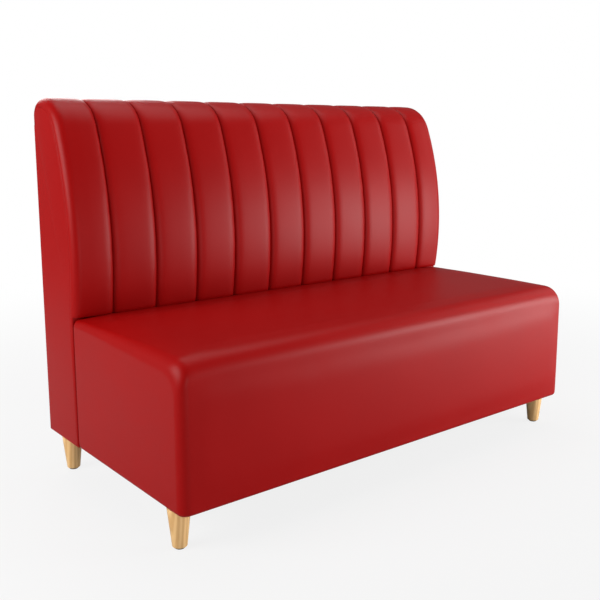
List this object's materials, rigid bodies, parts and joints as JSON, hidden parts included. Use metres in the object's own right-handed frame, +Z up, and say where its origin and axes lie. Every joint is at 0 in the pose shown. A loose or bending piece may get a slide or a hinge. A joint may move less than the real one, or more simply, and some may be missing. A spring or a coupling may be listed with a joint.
{
  "type": "upholstered restaurant bench",
  "caption": "Upholstered restaurant bench: a padded seat box on short turned wooden legs, with a curved padded back sewn into upright channels.",
  "frame": {"origin": "on the floor, under the middle of the footprint", "axes": "+X along the bench to its right as seen from the front, +Y from the front of the seat to the rear of the back, +Z up"},
  "size_m": [1.4, 0.742, 1.031],
  "materials": {
    "red_leatherette": "smooth, semi-gloss",
    "light_wood": "clear satin lacquer",
    "glide_plastic": "matte",
    "zinc_steel": "zinc plated",
    "staple_wire": "galvanised",
    "spring_steel": "oiled",
    "grey_felt": "felt",
    "foam": "open cell foam",
    "black_dust_cloth": "spunbonded cloth",
    "hardboard": "raw",
    "softwood": "planed",
    "plywood": "raw"
  },
  "bodies": {
    "root": {"back_base_board": "plywood", "back_channel_cover": "red_leatherette", "back_channel_foam_01": "foam", "back_channel_foam_02": "foam", "back_channel_foam_03": "foam", "back_channel_foam_04": "foam", "back_channel_foam_05": "foam", "back_channel_foam_06": "foam", "back_channel_foam_07": "foam", "back_channel_foam_08": "foam", "back_channel_foam_09": "foam", "back_channel_foam_10": "foam", "back_channel_foam_11": "foam", "back_dust_cover": "black_dust_cloth", "back_front_skin": "plywood", "back_left_end_panel": "plywood", "back_left_rib": "plywood", "back_left_side_cover": "red_leatherette", "back_left_side_foam": "foam", "back_lower_front_board": "plywood", "back_lower_front_lining": "black_dust_cloth", "back_middle_rails": "softwood", "back_rear_board": "hardboard", "back_rear_cover": "red_leatherette", "back_right_end_panel": "plywood", "back_right_rib": "plywood", "back_right_side_cover": "red_leatherette", "back_right_side_foam": "foam", "back_seat_level_rails": "softwood", "back_top_rails": "softwood", "dust_cover_staples": "staple_wire", "frame_screws": "zinc_steel", "joining_bolts": "zinc_steel", "joining_washers": "zinc_steel", "leg_front_left": "light_wood", "leg_front_right": "light_wood", "leg_glides": "glide_plastic", "leg_hanger_bolts": "zinc_steel", "leg_rear_left": "light_wood", "leg_rear_right": "light_wood", "seat_border_foam": "foam", "seat_cover": "red_leatherette", "seat_dust_cover": "black_dust_cloth", "seat_foam": "foam", "seat_front_base_rail": "plywood", "seat_front_board": "plywood", "seat_front_spring_rail": "softwood", "seat_left_base_board": "plywood", "seat_left_divider": "plywood", "seat_left_end_board": "plywood", "seat_rear_base_rail": "plywood", "seat_rear_board": "plywood", "seat_rear_spring_rail": "softwood", "seat_right_base_board": "plywood", "seat_right_divider": "plywood", "seat_right_end_board": "plywood", "seat_spring_clips": "spring_steel", "seat_spring_felt": "grey_felt", "seat_springs": "spring_steel", "tee_nuts": "zinc_steel"}
  },
  "joints": []
}
